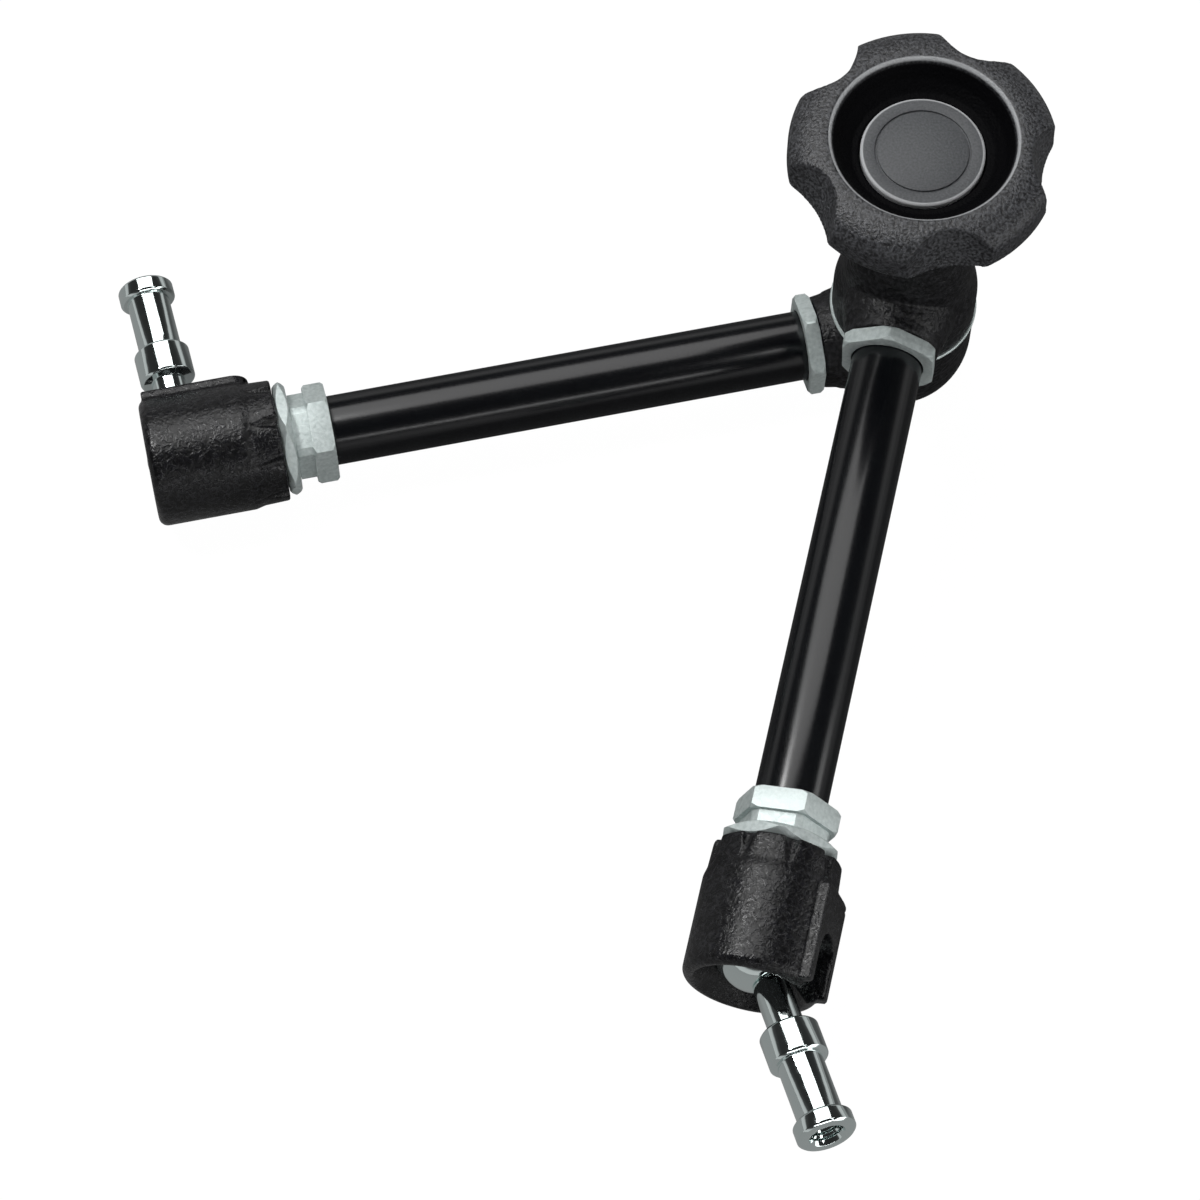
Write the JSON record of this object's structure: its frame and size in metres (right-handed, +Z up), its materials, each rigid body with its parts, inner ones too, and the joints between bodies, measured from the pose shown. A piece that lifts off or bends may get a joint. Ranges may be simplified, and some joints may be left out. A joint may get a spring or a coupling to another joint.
{
  "type": "articulating friction arm",
  "caption": "Articulating arm for holding camera gear: tubes on a lockable elbow with a clamp knob, and a ball joint with a slotted housing and a standard stud at each end.",
  "frame": {"origin": "centre of the elbow's flat underside, on the elbow's pivot axis", "axes": "+Z up along the elbow's pivot towards the knob; +Y away from the picture's camera, along the arm's longest side; +X to the picture's right"},
  "size_m": [0.263, 0.2968, 0.1235],
  "materials": {
    "polished_chrome": "polished chrome plate",
    "wrinkle_black": "black wrinkle coat on a casting",
    "satin_black": "satin black paint on a casting",
    "gloss_black": "glossy black coated tube",
    "satin_nickel": "satin nickel plate",
    "plain_steel": "plain turned steel",
    "turned_brass": "turned brass",
    "nylon": "natural nylon",
    "grey_black_plastic": "dark grey moulded plastic with a fine grain",
    "grey_plastic": "mid grey moulded plastic"
  },
  "bodies": {
    "base_stud": {"base_stud": "polished_chrome"},
    "base_ball": {"base_ball": "polished_chrome"},
    "base_arm": {"base_housing": "wrinkle_black", "base_jam_nut": "satin_nickel", "base_end_fitting": "satin_nickel", "base_tube": "gloss_black", "base_ring_nut": "satin_nickel", "upper_casting": "satin_black", "thrust_washer": "plain_steel", "friction_ring": "satin_nickel"},
    "base_rod": {"base_push_rod": "plain_steel", "base_thrust_ball": "plain_steel", "base_seat_cup": "nylon"},
    "knob": {"knob_body": "grey_black_plastic", "knob_insert": "turned_brass", "knob_cap": "grey_plastic"},
    "load_arm": {"lower_casting": "satin_black", "base_plug": "satin_black", "load_ring_nut": "satin_nickel", "load_tube": "gloss_black", "load_end_fitting": "satin_nickel", "load_jam_nut": "satin_nickel", "load_housing": "wrinkle_black"},
    "spindle": {"spindle": "plain_steel", "disc_spring": "plain_steel"},
    "load_rod": {"load_push_rod": "plain_steel", "load_thrust_ball": "plain_steel", "load_seat_cup": "nylon"},
    "load_ball": {"load_ball": "polished_chrome"},
    "load_stud": {"load_stud": "polished_chrome"}
  },
  "joints": [
    {"name": "base_stud_spin", "type": "hinge", "parent": "base_stud", "child": "base_ball", "pos_m": [-0.04559, -0.20397, 0.05], "axis": [0.291, -0.9434, 0.1592], "continuous": true},
    {"name": "base_swing", "type": "hinge", "parent": "base_ball", "child": "base_arm", "pos_m": [-0.04559, -0.20397, 0.05], "axis": [-0.3016, 0.0674, 0.9511], "range_deg": [-59, 61]},
    {"name": "knob_turn", "type": "hinge", "parent": "base_arm", "child": "knob", "pos_m": [0, 0, 0.0997], "axis": [0, 0, 1], "range_deg": [-5, 365]},
    {"name": "base_rod_push", "type": "slide", "parent": "base_arm", "child": "base_rod", "axis": [-0.2181, -0.9759, 0], "range_m": [-0.0007, 0.0001]},
    {"name": "elbow", "type": "hinge", "parent": "base_arm", "child": "load_arm", "pos_m": [0, 0, 0.035], "axis": [0, 0, 1], "range_deg": [-280, 55]},
    {"name": "spindle_draw", "type": "slide", "parent": "load_arm", "child": "spindle", "axis": [0, 0, 1], "range_m": [-0.0015, 0]},
    {"name": "load_rod_push", "type": "slide", "parent": "load_arm", "child": "load_rod", "axis": [-0.9792, -0.2028, 0], "range_m": [-0.0007, 0.0001]},
    {"name": "load_swing", "type": "hinge", "parent": "load_arm", "child": "load_ball", "pos_m": [-0.20466, -0.04238, 0.02], "axis": [0, 0, -1], "range_deg": [-116.7, 3.3]},
    {"name": "load_stud_spin", "type": "hinge", "parent": "load_ball", "child": "load_stud", "pos_m": [-0.20466, -0.04238, 0.02], "axis": [-0.2588, 0.9659, 0], "continuous": true}
  ],
  "couplings": [
    {"joint": "knob_turn", "follows": "spindle_draw", "rad_per_m": -4188.8},
    {"joint": "base_rod_push", "follows": "spindle_draw", "ratio": 0.4},
    {"joint": "load_rod_push", "follows": "spindle_draw", "ratio": 0.4}
  ]
}
